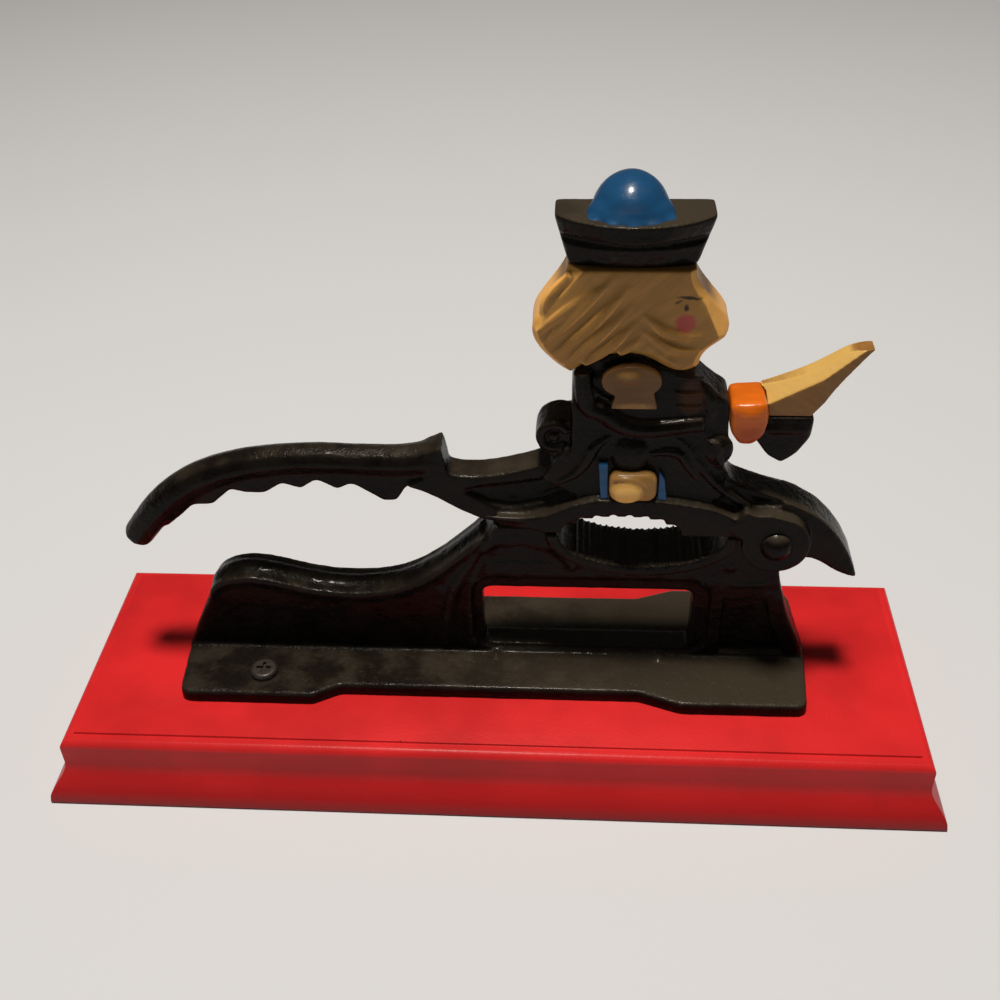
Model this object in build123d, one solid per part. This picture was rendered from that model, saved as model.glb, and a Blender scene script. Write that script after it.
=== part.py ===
from build123d import *
import math
import os

# Cast-iron lever nutcracker with a painted figure, screwed to a red wooden plinth.
# Frame: origin at the middle of the plinth's underside, +X along the plinth towards
# the hinge end, +Y towards the back, +Z up. All lengths are in millimetres.

# ---- driving dimensions -------------------------------------------------------
PLINTH_LENGTH, PLINTH_WIDTH, PLINTH_HEIGHT = 304.8, 101.6, 25.4
FIELD_INSET = 10.4          # edge of the raised flat field on top of the plinth
FIELD_STEP = 0.9            # height of that field over the moulding's top
WALL_INSET = 6.2            # upright wall under the rounded nosing
NOSING_RADIUS = 2.9
COVE_TOP, COVE_FOOT = 15.0, 3.4
EDGE_ROUND = 1.0

CAST_Y = 4.0                # middle plane of both castings
FLANGE_THICKNESS = 5.0
FLANGE_LEFT, FLANGE_RIGHT = -108.6, 106.6
END_BOW = 2.4               # the flange's ends stand out a little in the middle
FOOT_HALF, WAIST_HALF = 29.0, 24.0
DECK = PLINTH_HEIGHT + FLANGE_THICKNESS

WEB = 11.0                  # web of the lower casting
SHELF_WIDTH = 14.4          # moulded shelf along the top of the web
RIDGE_WIDTH = 5.0           # narrow ridge on that shelf
RIDGE_HEIGHT = 1.2
SHELF_DEPTH = 3.4
JAW_WIDTH = 21.0            # both jaws across the nut
REST_Z = 88.4               # top of the pad that the lever rests on
REST_GAP = 0.3

PIVOT_X, PIVOT_Z = 92.0, 85.5
BOSS_RADIUS = 11.0
LUG_RADIUS = 9.4
LUG_WIDTH = 12.0
CHEEK = 5.0                 # each cheek of the fork
FORK_GAP = 0.35             # side play between lug and cheek
BOLT_RADIUS = 3.2
RUNNING = 0.08              # radial clearance of the hinge bore
BOLT_FIT = 0.04             # radial clearance in the lug
END_PLAY = 0.3              # under the bolt's head and the nut

ARM_WIDTH = 10.6
TOOTH_WEB = 7.4             # thinner web that carries the finger notches
PANEL_DEPTH = 2.0           # sunk panels in the arm and the post
HORN_WIDTH = 13.4
LOWER_RIB_PITCH = 2.0       # fine gripping ribs across the lower jaw
UPPER_RIB_PITCH = 5.4       # shallow waves across the upper jaw
RIB_HEIGHT = 0.7
RIB_ROOT = 0.6              # how far a rib is sunk into the jaw

FORK_OUTER = LUG_WIDTH / 2 + FORK_GAP + CHEEK
BOLT_FACE = CAST_Y - FORK_OUTER - END_PLAY
NUT_FACE = CAST_Y + FORK_OUTER + END_PLAY


# ---- helpers --------------------------------------------------------------------
def closed_face(*runs):
    """A flat face from runs of lines and curves laid end to end."""
    return make_face([edge for run in runs for edge in run.edges()])


def front_face(*runs):
    """A face in the X-Z plane from runs drawn as (x, z) points."""
    return Plane.XZ * closed_face(*runs)


def slab(face, width, middle=CAST_Y):
    """The face given a width across Y about the middle plane."""
    return Pos(0, middle, 0) * extrude(face, width / 2, both=True)


def polygon(points, width, middle=CAST_Y):
    """A straight-sided slab from (x, z) corners."""
    return slab(front_face(Polyline(*points, close=True)), width, middle)


def barrel(x, z, radius, y_from, y_to):
    """A round bar along Y between two planes."""
    length = y_to - y_from
    bar = extrude(Plane.XZ * Circle(radius), length / 2, both=True)
    return Pos(x, (y_from + y_to) / 2, z) * bar


# ---- plinth ---------------------------------------------------------------------
def plinth_section(half):
    """The moulded cross-section: one side drawn as (distance, height), then mirrored."""
    foot, wall, field = half, half - WALL_INSET, half - FIELD_INSET
    nosing_top = PLINTH_HEIGHT - FIELD_STEP
    cove = Spline(
        (wall, COVE_TOP), (wall + 0.42 * WALL_INSET, 8.4), (foot - 0.4, COVE_FOOT),
        tangents=[(0, -1), (0.35, -1)],
    )
    right = [
        Polyline((0, 0), (foot - EDGE_ROUND, 0)),
        ThreePointArc(
            (foot - EDGE_ROUND, 0), (foot - 0.3 * EDGE_ROUND, 0.3 * EDGE_ROUND),
            (foot, EDGE_ROUND),
        ),
        Line((foot, EDGE_ROUND), (foot - 0.4, COVE_FOOT)),
        cove,
        Line((wall, COVE_TOP), (wall, nosing_top - NOSING_RADIUS)),
        ThreePointArc(
            (wall, nosing_top - NOSING_RADIUS),
            (wall - 0.3 * NOSING_RADIUS, nosing_top - 0.3 * NOSING_RADIUS),
            (wall - NOSING_RADIUS, nosing_top),
        ),
        Polyline(
            (wall - NOSING_RADIUS, nosing_top), (field, nosing_top),
            (field, PLINTH_HEIGHT), (0, PLINTH_HEIGHT),
        ),
    ]
    left = [run.mirror(Plane.YZ) for run in right]
    return closed_face(*right, *left)


SCREW_X = 80.6
SCREW_Y = 18.8
SCREWS = {
    "mounting_screw_front": (-SCREW_X, CAST_Y - SCREW_Y),
    "mounting_screw_rear": (SCREW_X, CAST_Y + SCREW_Y),
}
SCREW_SHANK, SCREW_LENGTH, SCREW_HOLE = 2.1, 17.0, 2.5
SCREW_HEAD_RADIUS, SCREW_HEAD_HEIGHT = 4.8, 2.4
PILOT_PLAY = 0.05


def make_plinth():
    cross_bar = extrude(Plane.XZ * plinth_section(PLINTH_LENGTH / 2), PLINTH_WIDTH / 2, both=True)
    long_bar = extrude(Plane.YZ * plinth_section(PLINTH_WIDTH / 2), PLINTH_LENGTH / 2, both=True)
    plinth = long_bar & cross_bar
    for x, y in SCREWS.values():
        depth = SCREW_LENGTH - FLANGE_THICKNESS + 1.0
        pilot = Cylinder(SCREW_SHANK + PILOT_PLAY, depth)
        plinth -= Pos(x, y, PLINTH_HEIGHT - depth / 2) * pilot
    return plinth


# ---- lower casting ----------------------------------------------------------------
def make_flange():
    foot, waist = FOOT_HALF, WAIST_HALF
    half = [
        (FLANGE_LEFT, foot), (-62, foot), (-53, waist),
        (50, waist), (64, foot), (FLANGE_RIGHT, foot),
    ]
    ends = [[(FLANGE_RIGHT + END_BOW, 0)], [(FLANGE_LEFT - END_BOW, 0)]]
    outline = half + ends[0] + [(x, -y) for x, y in reversed(half)] + ends[1]
    plate = extrude(closed_face(Polyline(*outline, close=True)), FLANGE_THICKNESS)
    plate = fillet(plate.edges().filter_by(Axis.Z), 4.0)
    plate = fillet(plate.faces().sort_by(Axis.Z)[-1].edges(), 1.2)
    return Pos(0, CAST_Y, PLINTH_HEIGHT) * plate


LIP = [
    (-99, 57.6), (-93, 63.2), (-86, 65.0), (-66, 61.0),
    (-46, 59.0), (-31, 62.0), (-17, 71.2), (-3, 84.6),
]
REST_PAD = (1.0, 21.5)                     # x of the two ends of the rest pad
TROUGH = (22.0, 76.5, 87.6, 13.0)          # x0, x1, end height, depth of the lower jaw's hollow
TROUGH_WALL = 3.8
WINDOW = (-4.0, 68.0, 33.0, 59.5)          # x0, x1, z0, z1
WINDOW_BORDER = 4.6
RIGHT_EDGE = [(100.6, 81.0), (95.6, 71.0), (97.6, 60.0), (101.0, 48.5), (105.5, 38.0), (107.0, 27.0)]


def lip_strip(drop, depth, width):
    """A strip that follows the lip's curve, drop below it and depth thick."""
    upper = Spline(*[(x, z - drop) for x, z in LIP])
    lower = Spline(*[(x, z - drop - depth) for x, z in LIP])
    (x0, z0), (x1, z1) = LIP[0], LIP[-1]
    ends = [
        Line((x1, z1 - drop), (x1, z1 - drop - depth)),
        Line((x0, z0 - drop - depth), (x0, z0 - drop)),
    ]
    return slab(front_face(upper, ends[0], lower, ends[1]), width)


def make_web():
    (x0, z0), (x1, z1) = LIP[0], LIP[-1]
    drop = RIDGE_HEIGHT + 1
    top = Spline(*[(x, z - drop) for x, z in LIP])
    floor = DECK - 1
    right = Spline(*RIGHT_EDGE)
    pad_left, pad_right = REST_PAD
    trough_left, trough_right, _, _ = TROUGH
    under_trough = [
        (x, lower_jaw_z(x) - TROUGH_WALL / 2)
        for x in (trough_left + 2, 28, 35, 43, 52, 61, 68, trough_right - 2)
    ]
    rest = Polyline(
        (x1, z1 - drop), (pad_left, REST_Z), (pad_right, REST_Z), *under_trough,
        (trough_right + 2, 85.0), (86, 84), RIGHT_EDGE[0],
    )
    foot = Polyline(RIGHT_EDGE[-1], (RIGHT_EDGE[-1][0], floor), (-111, floor), (x0, z0 - drop))
    return slab(front_face(top, rest, right, foot), WEB)


def lower_jaw_z(x, grow=0.0):
    """Height of the lower jaw's hollow, half an ellipse, or of the same curve grown outwards."""
    x0, x1, rim, depth = TROUGH
    offset = (2 * x - x0 - x1) / (x1 - x0 + 2 * grow)
    return rim - (depth + grow) * math.sqrt(round(1 - offset ** 2, 9))


def jaw_stations(x0, x1):
    """x of the points of a jaw's curve, closer together near its steep ends."""
    return [x0 + (x1 - x0) * share for share in (0, 0.02, 0.08, 0.2, 0.35, 0.5, 0.65, 0.8, 0.92, 0.98, 1)]


def make_trough():
    """Lower jaw: an even wall under a deep hollow, with ribs across it."""
    x0, x1, rim, _ = TROUGH
    outer_x0, outer_x1 = x0 - TROUGH_WALL, x1 + TROUGH_WALL
    hollow = Spline(*[(x, lower_jaw_z(x)) for x in jaw_stations(x0, x1)])
    outer = jaw_stations(outer_x0, outer_x1)
    under = Spline(*[(x, lower_jaw_z(x, TROUGH_WALL)) for x in reversed(outer)])
    right, left = Line((x1, rim), (outer_x1, rim)), Line((outer_x0, rim), (x0, rim))
    block = slab(front_face(hollow, right, under, left), JAW_WIDTH)
    return block + jaw_ribs(x0 + 6, x1 - 7, lower_jaw_z, 1, LOWER_RIB_PITCH)


def jaw_ribs(x_from, x_to, height_at, up, pitch):
    """Small three-sided ribs along Y, spaced over a jaw's hollow."""
    ribs = []
    count = round((x_to - x_from) / pitch)
    half = 0.42 * pitch
    for i in range(count + 1):
        x = x_from + (x_to - x_from) * i / count
        z = height_at(x)
        corners = [(x - half, z - up * RIB_ROOT), (x + half, z - up * RIB_ROOT), (x, z + up * RIB_HEIGHT)]
        ribs.append(polygon(corners, JAW_WIDTH - 1.0))
    return ribs


def window_frame(reach, width):
    """A slab that stands out from the window's edge by its reach, except along the deck."""
    x0, x1, z0, z1 = WINDOW
    x0, x1, z1 = x0 - reach, x1 + reach, z1 + reach
    return polygon([(x0, z0), (x1, z0), (x1, z1), (x0, z1)], width)


def make_lower_casting():
    x0, x1, z0, z1 = WINDOW
    body = make_flange() + make_web()
    body += lip_strip(RIDGE_HEIGHT, SHELF_DEPTH, SHELF_WIDTH)
    body += lip_strip(0, RIDGE_HEIGHT + 1, RIDGE_WIDTH)
    pad_left, pad_right = REST_PAD
    pad = [(pad_left - 3, REST_Z - 8), (pad_left, REST_Z), (pad_right, REST_Z), (pad_right, REST_Z - 10)]
    body += polygon(pad, SHELF_WIDTH)
    body += make_trough()
    body += barrel(PIVOT_X, PIVOT_Z, LUG_RADIUS, CAST_Y - LUG_WIDTH / 2, CAST_Y + LUG_WIDTH / 2)
    # raised border round the window, then the window itself
    body += window_frame(WINDOW_BORDER, WEB + 2.0) - window_frame(WINDOW_BORDER / 2, WEB + 4.0)
    opening = polygon([(x0, z0), (x1, z0), (x1, z1), (x0, z1)], 4 * WEB)
    body -= fillet(opening.edges().filter_by(Axis.Y), 3.0)
    # sunk panel in each face of the hinge post
    panel = [(78, DECK + 1.5), (101.5, DECK + 1.5), (95, 46), (92.5, 57), (78, 57)]
    for side in (-1, 1):
        body -= polygon(panel, PANEL_DEPTH, CAST_Y + side * (WEB - PANEL_DEPTH) / 2)
    # room for the fork's cheeks beside the hinge lug
    for side in (-1, 1):
        y = CAST_Y + side * (LUG_WIDTH / 2 + FORK_GAP / 2 + 6.0)
        body -= barrel(PIVOT_X, PIVOT_Z, BOSS_RADIUS + 1.5, y - 6.0, y + 6.0)
    body -= barrel(PIVOT_X, PIVOT_Z, BOLT_RADIUS + BOLT_FIT, -20, 30)
    for x, y in SCREWS.values():
        body -= Pos(x, y, DECK) * Cylinder(SCREW_HOLE, 4 * FLANGE_THICKNESS)
    return body


# ---- lever ------------------------------------------------------------------------
GRIP_TOP = [
    (-125.2, 79.6), (-118.6, 89.4), (-103, 103.0), (-84, 111.2),
    (-65, 114.4), (-44, 113.6), (-28, 113.9), (-15, 118.2),
]
GRIP_UNDER = [
    (-16, 105.6), (-34, 105.4), (-58, 106.4), (-78, 103.6),
    (-96, 95.0), (-109, 83.0), (-116.8, 76.2),
]
FINGERS = [
    (-109, 83.0), (-99, 92.0), (-92, 92.6), (-85.5, 98.8), (-80, 97.4), (-74, 97.6), (-68, 101.6),
    (-62, 99.4), (-56.5, 103.4), (-50, 99.4), (-45, 102.0), (-35, 95.2), (-30.5, 95.4), (-26.5, 102.2),
]
ARM_TOP = [(-15, 108.4), (-4, 107.2), (8, 109.4), (20, 113.6), (30, 118)]
JAW_ARC = (23.0, 61.5, 88.2, 8.4)            # x0, x1, end height, rise of the upper jaw
JAW_ARC_POWER = 2.3                          # 2 is an ellipse; more is flatter in the middle


def make_grip():
    end = ThreePointArc(GRIP_UNDER[-1], (-123.2, 74.6), GRIP_TOP[0])
    face = front_face(
        Spline(*GRIP_TOP), Polyline(GRIP_TOP[-1], (-13.2, 108.0), GRIP_UNDER[0]),
        Spline(*GRIP_UNDER), end,
    )
    bar = slab(face, ARM_WIDTH)
    comb = polygon(FINGERS + [(-20, 106.5), (-24, 109), (-60, 109.5), (-84, 105.5)], TOOTH_WEB)
    return bar + comb


def make_arm():
    """Arm, upper jaw backing and the bridge to the hinge, as one web."""
    x0, x1, _, _ = JAW_ARC
    lower_left = Spline((-26.5, 102.2), (-16, 97.2), (-5, 90.6), (4, REST_Z + REST_GAP))
    under = Polyline((4, REST_Z + REST_GAP), (x0, REST_Z + REST_GAP), (x0, 99), (x1, 99), (x1, 90.5))
    bridge = Polyline((x1, 90.5), (80, 89.5), (84, 100), (75, 109), (66, 114), (30, 118))
    top = Spline(*reversed(ARM_TOP))
    close = Polyline((-15, 108.4), (-20, 108.4), (-26.5, 102.2))
    return slab(front_face(lower_left, under, bridge, top, close), ARM_WIDTH)


def upper_jaw_z(x):
    """Height of the upper jaw's hollow: flat in the middle and steep at both ends."""
    x0, x1, spring, rise = JAW_ARC
    offset = abs(2 * (x - x0) / (x1 - x0) - 1)
    return spring + rise * round(1 - offset ** JAW_ARC_POWER, 9) ** (1 / JAW_ARC_POWER)


def make_upper_jaw():
    """Upper jaw: a wide rim with an arched underside and ribs across it."""
    x0, x1, spring, _ = JAW_ARC
    rest = REST_Z + REST_GAP
    arch = Spline(*[(x, upper_jaw_z(x)) for x in jaw_stations(x0, x1)])
    right = Polyline((x1, spring), (79, spring), (82, 94), (72, 99.0))
    top = Spline((72, 99.0), (58, 101.8), (38, 102.4), (27, 100.2), (17, 95.2), (6, 93.0))
    left = Polyline((6, 93.0), (2, 93.4), (2, rest), (x0 - 1.5, rest), (x0, spring))
    block = slab(front_face(arch, right, top, left), JAW_WIDTH)
    # the rim narrows from the jaw towards the arm
    for side in (-1, 1):
        edge = CAST_Y + side * JAW_WIDTH / 2
        corners = [(-2, edge + side), (-2, edge - side * 4.0), (22, edge + side)]
        wedge = extrude(closed_face(Polyline(*corners, close=True)), 40)
        block -= Pos(0, 0, 80) * wedge
    return block + jaw_ribs(x0 + 7, x1 - 7, upper_jaw_z, -1, UPPER_RIB_PITCH)


HORN_OUTER = [
    (74, 108.3), (88, 102.2), (99.6, 97.2), (108, 91.0), (114.8, 82.2), (119, 73.6), (120.4, 69.0),
]
HORN_INNER = [(120.4, 69.0), (117.5, 69.8), (112, 72.4), (106.5, 76.2), (103, 77.2), (98.5, 74.4)]


def make_horn():
    inner = Polyline(HORN_INNER[-1], (86, 90), HORN_OUTER[0])
    face = front_face(Spline(*HORN_OUTER), Spline(*HORN_INNER), inner)
    return slab(face, HORN_WIDTH)


def make_fork():
    """Hinge boss and its cheeks, with the slot that the lug sits in."""
    disc = barrel(PIVOT_X, PIVOT_Z, BOSS_RADIUS, CAST_Y - FORK_OUTER, CAST_Y + FORK_OUTER)
    bridge = polygon([(80, 88), (76, 92.5), (82, 100), (97, 95.5), (100, 84)], 2 * FORK_OUTER)
    return disc + bridge


def make_fork_slot():
    """The lug's room: a round pocket opened downwards through the lever's travel."""
    width = LUG_WIDTH + 2 * FORK_GAP
    pocket = barrel(PIVOT_X, PIVOT_Z, LUG_RADIUS + 0.8, CAST_Y - width / 2, CAST_Y + width / 2)
    throat = polygon([
        (PIVOT_X - 12.0, PIVOT_Z + 1.0), (PIVOT_X, PIVOT_Z + 1.0), (PIVOT_X + 9.6, PIVOT_Z - 3.0),
        (PIVOT_X + 11.5, PIVOT_Z - 9.4), (PIVOT_X + 4.5, PIVOT_Z - 16.0), (PIVOT_X - 12.0, PIVOT_Z - 20.0),
    ], width)
    return pocket + throat


def make_lever():
    lever = make_grip() + make_arm() + make_upper_jaw() + make_horn() + make_fork()
    # sunk panel in each face of the arm, which leaves a rim above and below
    panel = [
        (-9, 101.6), (0, 96.0), (8, 94.8), (17, 97.2), (27, 102.4), (27, 108.6), (12, 105.6), (-2, 103.4),
    ]
    for side in (-1, 1):
        lever -= polygon(panel, 2 * PANEL_DEPTH, CAST_Y + side * ARM_WIDTH / 2)
    lever -= make_fork_slot()
    lever -= barrel(PIVOT_X, PIVOT_Z, BOLT_RADIUS + RUNNING, -20, 30)
    return lever


# ---- figure on the lever -----------------------------------------------------------
# The figure is cast in relief: its back is flat and its front stands out.
FIGURE_BACK = 10.0
COAT_FACE = -3.5
HAT_FLOOR, HAT_TOP = 181.6, 197.0
CROWN_X, CROWN_Z, CROWN_RADIUS = 41.5, 192.4, 14.5
HAT_BOTTOM = (24.5, 60.5, 3.4, 1.5)          # x0, x1, front bulge in the middle and at the ends
HAT_BRIM = (20.2, 65.4, 10.4, 1.0)
HEAD_FACE = -4.6
CUFF = [(73.2, 137.4), (84.2, 138.2), (85.2, 132.4), (84.6, 127.0), (81.0, 122.8), (77, 122.8), (74, 127)]
BLADE_TIP = (114.6, 152.6)


def relief(points, front, back=FIGURE_BACK):
    """A straight-sided piece of the figure from its back to its front plane."""
    return polygon(points, back - front, (front + back) / 2)


def on_the_chest(face, depth):
    """A shape that stands out from the coat's front by its depth."""
    return slab(face, depth, COAT_FACE - depth / 2)


def make_coat(lever):
    """Coat, seat, sleeves and legs of the figure, standing on the lever."""
    trunk = [(26, 112), (26, 144), (46, 151.5), (62, 147), (69, 140.8), (73, 138), (74, 121), (66, 110)]
    coat = relief(trunk, COAT_FACE)
    coat += barrel(22.4, 122.4, 7.6, -1.0, FIGURE_BACK)
    coat += barrel(66.6, 119.5, 8.0, COAT_FACE - 0.3, FIGURE_BACK)
    coat += relief([(31, 96), (28, 118), (66, 118), (62, 96)], COAT_FACE)
    coat += relief([(17, 108), (24, 120), (34, 116), (34, 98)], COAT_FACE)
    coat += relief([(60, 119), (69, 123), (76, 108), (73, 101), (60, 99)], COAT_FACE)
    coat -= lever
    return max(coat.solids(), key=lambda solid: solid.volume)


def make_head():
    """Head and swept-back hair in one block, with the hair's wavy lower edge."""
    back = Spline((24.5, HAT_FLOOR), (18.8, 171.4), (14.2, 161.6), (18.6, 153.2), (25.6, 147.6))
    hem = Spline((25.6, 147.6), (33, 152.4), (41, 154.2), (48, 152.8), (56, 148.6), (63, 150.6))
    face = Spline((63, 150.6), (64.8, 155.4), (70.8, 161.4), (66.4, 170.0), (60.5, HAT_FLOOR))
    outline = front_face(back, hem, face, Line((60.5, HAT_FLOOR), (24.5, HAT_FLOOR)))
    head = slab(outline, FIGURE_BACK - HEAD_FACE, (FIGURE_BACK + HEAD_FACE) / 2)
    front_edges = head.faces().sort_by(Axis.Y)[0].edges()
    return chamfer(front_edges.sort_by(Axis.Z)[:-1], 2.0)


def hat_outline(size, z):
    """Plan of the hat at one height: straight at the back, bowed out in front."""
    x0, x1, bulge, end = size
    front = ThreePointArc((x0, -end), ((x0 + x1) / 2, -bulge), (x1, -end))
    rest = Polyline((x1, -end), (x1, FIGURE_BACK), (x0, FIGURE_BACK), (x0, -end))
    return Pos(0, 0, z) * closed_face(front, rest)


def make_hat():
    """Boat-shaped hat that spreads from the brow up to its brim."""
    return loft([hat_outline(HAT_BOTTOM, HAT_FLOOR), hat_outline(HAT_BRIM, HAT_TOP)])


def make_crown():
    ball = Pos(CROWN_X, CAST_Y, CROWN_Z) * Sphere(CROWN_RADIUS)
    side = 4 * CROWN_RADIUS
    room = Pos(CROWN_X, FIGURE_BACK - side / 2, HAT_TOP + side / 2) * Box(side, side, side)
    return ball & room


def make_cuff(coat):
    cuff = relief(CUFF, COAT_FACE - 1.0, FIGURE_BACK - 0.5)
    return fillet(cuff.edges().filter_by(Axis.Y), 1.0) - coat


def make_blade(cuff):
    upper = Spline((83, 138.4), (90, 141.2), (101, 146.9), (108.6, 151.6), BLADE_TIP)
    lower = Spline(BLADE_TIP, (107.4, 144.2), (101.4, 135.4), (99.4, 131.2))
    outline = front_face(upper, lower, Polyline((99.4, 131.2), (83, 131.2), (83, 138.4)))
    return slab(outline, 8.6) - cuff


def make_mitten(cuff):
    outline = [
        (84, 131.0), (99.4, 131.0), (99.2, 123.6), (95.4, 117.2), (91, 113.6), (86.4, 116.4), (82, 122.6),
    ]
    return relief(outline, -0.8, FIGURE_BACK - 1.0) - cuff


def make_chest_hand():
    """A rounded fist over a tapered wrist, in relief on the chest."""
    fist = on_the_chest(Plane.XZ * (Pos(43.5, 146.4) * Ellipse(8.8, 5.4)), 3.2)
    wrist = on_the_chest(
        front_face(Polyline((39.5, 143.5), (50, 143.5), (51.4, 137.2), (37.6, 137.2), close=True)), 3.2,
    )
    return fist + wrist


def make_lap_block(lever):
    """Rounded block in the figure's lap."""
    depth = 3.8
    block = fillet(Box(14.8, depth, 10.4).edges().filter_by(Axis.Y), 3.0)
    block = fillet(block.faces().sort_by(Axis.Y)[0].edges(), 1.5)
    return Pos(45.4, COAT_FACE - depth / 2, 107.8) * block - lever


def make_breeches(lever):
    """The two strips of breeches that show on either side of the lap block."""
    left = front_face(Polyline((34.6, 115.6), (37.4, 115.6), (37.7, 102.6), (35.4, 102.4), close=True))
    right = front_face(Polyline((53.4, 113.0), (55.2, 110), (56.2, 102.0), (53.4, 102.0), close=True))
    return [on_the_chest(strip, 2.0) - lever for strip in (left, right)]


# ---- fasteners ------------------------------------------------------------------------
def make_screw(x, y):
    """Cross-recessed pan-head wood screw, driven through the flange into the plinth."""
    radius, height = SCREW_HEAD_RADIUS, SCREW_HEAD_HEIGHT
    head = fillet(Cylinder(radius, height).edges().sort_by(Axis.Z)[-1], 1.3)
    recess = Box(1.1, 5.0, 2.4) + Box(5.0, 1.1, 2.4)
    head = Pos(0, 0, height / 2) * head - Pos(0, 0, height) * recess
    tip = 4.0
    straight = SCREW_LENGTH - tip
    shank = Pos(0, 0, -straight / 2) * Cylinder(SCREW_SHANK, straight)
    point = Pos(0, 0, -straight - tip / 2) * Cone(0.3, SCREW_SHANK, tip)
    return Pos(x, y, DECK) * (head + shank + point)


BOLT_HEAD_RADIUS, BOLT_HEAD_HEIGHT = 5.2, 3.4
NUT_WIDTH, NUT_HEIGHT = 10.0, 5.0
BOLT_STICKOUT = 1.6


def make_bolt():
    """Round-headed pin that the lever turns on, with its end through the nut."""
    end = NUT_FACE + NUT_HEIGHT + BOLT_STICKOUT
    shank = barrel(PIVOT_X, PIVOT_Z, BOLT_RADIUS, BOLT_FACE, end)
    radius = (BOLT_HEAD_RADIUS ** 2 + BOLT_HEAD_HEIGHT ** 2) / (2 * BOLT_HEAD_HEIGHT)
    ball = Pos(PIVOT_X, BOLT_FACE - BOLT_HEAD_HEIGHT + radius, PIVOT_Z) * Sphere(radius)
    head = barrel(PIVOT_X, PIVOT_Z, BOLT_HEAD_RADIUS, BOLT_FACE - BOLT_HEAD_HEIGHT, BOLT_FACE)
    return shank + (ball & head)


def make_nut():
    hexagon = RegularPolygon(NUT_WIDTH / 2, 6, major_radius=False)
    nut = extrude(Plane.XZ * hexagon, NUT_HEIGHT / 2, both=True)
    nut = Pos(PIVOT_X, NUT_FACE + NUT_HEIGHT / 2, PIVOT_Z) * nut
    return nut - barrel(PIVOT_X, PIVOT_Z, BOLT_RADIUS + BOLT_FIT, -20, 40)


# ---- assembly -----------------------------------------------------------------------
def main():
    os.makedirs("parts", exist_ok=True)
    lever = make_lever()
    coat = make_coat(lever)
    cuff = make_cuff(coat)
    nodes = {
        "plinth": make_plinth(),
        "lower_casting": make_lower_casting(),
        "pivot_bolt": make_bolt(),
        "pivot_nut": make_nut(),
        "lever_casting": lever,
        "figure_coat": coat,
        "figure_head": make_head() - coat,
        "figure_hat": make_hat(),
        "figure_hat_crown": make_crown(),
        "figure_cuff": cuff,
        "figure_blade": make_blade(cuff),
        "figure_mitten": make_mitten(cuff),
        "figure_chest_hand": make_chest_hand(),
        "figure_lap_block": make_lap_block(lever),
        "figure_breeches": make_breeches(lever),
    }
    for name, (x, y) in SCREWS.items():
        nodes[name] = make_screw(x, y)
    for name, shape in nodes.items():
        if isinstance(shape, list):
            shape = Compound(children=shape)
        export_step(shape, f"parts/{name}.step")


main()
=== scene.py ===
"""Finished look of a cast-iron lever nutcracker with a painted figure on a red plinth."""

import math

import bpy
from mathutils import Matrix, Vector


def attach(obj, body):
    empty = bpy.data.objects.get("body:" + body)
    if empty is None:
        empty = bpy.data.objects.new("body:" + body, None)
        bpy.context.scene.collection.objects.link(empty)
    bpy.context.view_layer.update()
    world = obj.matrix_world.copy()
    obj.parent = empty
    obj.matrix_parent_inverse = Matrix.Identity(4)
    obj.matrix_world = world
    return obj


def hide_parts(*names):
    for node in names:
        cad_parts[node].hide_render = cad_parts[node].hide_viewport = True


bl_info = {
    "name": "Painted Iron Nutcracker",
    "version": (1, 0, 0),
    "blender": (4, 5, 0),
    "location": "3D View > Sidebar > Nutcracker",
    "description": "Casts, paints and lights a lever nutcracker on its wooden plinth",
    "category": "Object",
}

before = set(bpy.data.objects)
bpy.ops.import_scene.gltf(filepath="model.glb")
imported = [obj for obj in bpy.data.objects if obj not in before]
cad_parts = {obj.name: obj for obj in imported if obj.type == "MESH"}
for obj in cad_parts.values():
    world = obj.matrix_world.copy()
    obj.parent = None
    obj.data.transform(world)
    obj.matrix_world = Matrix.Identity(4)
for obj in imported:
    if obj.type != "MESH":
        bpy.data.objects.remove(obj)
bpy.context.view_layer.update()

MM = 0.001
CAST_Y = 4.0                # middle plane of both castings, in millimetres
WEB_FACE = -1.5             # front face of the lower casting's web
COAT_FACE = -3.5            # front of the figure's body
HEAD_FACE = -4.6            # front of the head
BLADE_FACE = -0.3           # front of the blade
RIB_FRONT, RIB_BACK = -6.2, 14.2        # ends of the jaws' ribs
CLEAR_FRONT, CLEAR_BACK = -12, 20       # planes clear of both castings, for cuts that go through
STROKE_DEPTH = 0.0003                   # height of brush strokes in thick paint, in metres


# ---- sizes and colours a user may change ----------------------------------------------
def length(name, description, millimetres):
    """A length setting shown in Blender's own units."""
    return bpy.props.FloatProperty(
        name=name, description=description, default=millimetres * MM, min=0.0, precision=5,
        subtype="DISTANCE", unit="LENGTH",
    )


def colour(name, description, *rgb):
    """A paint colour setting."""
    return bpy.props.FloatVectorProperty(
        name=name, description=description, default=rgb, min=0.0, max=1.0, size=3, subtype="COLOR",
    )


class NutcrackerSizes(bpy.types.PropertyGroup):
    casting_mesh: length("Casting mesh", "Mesh spacing of the lower casting", 0.78)
    lever_mesh: length("Lever mesh", "Mesh spacing of the lever with the figure's coat", 0.66)
    figure_mesh: length("Figure mesh", "Mesh spacing of the figure's pieces", 0.45)
    sand_grain: length("Sand grain", "Size of the lumps that the mould leaves in the iron", 5.0)
    sand_depth: length("Sand depth", "Height of those lumps", 0.28)
    plinth_edge: length("Plinth edge", "Width of the worn edges of the painted plinth", 0.45)
    rib_pitch: length("Rib pitch", "Spacing of the gripping ribs across the jaws", 2.0)


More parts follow.
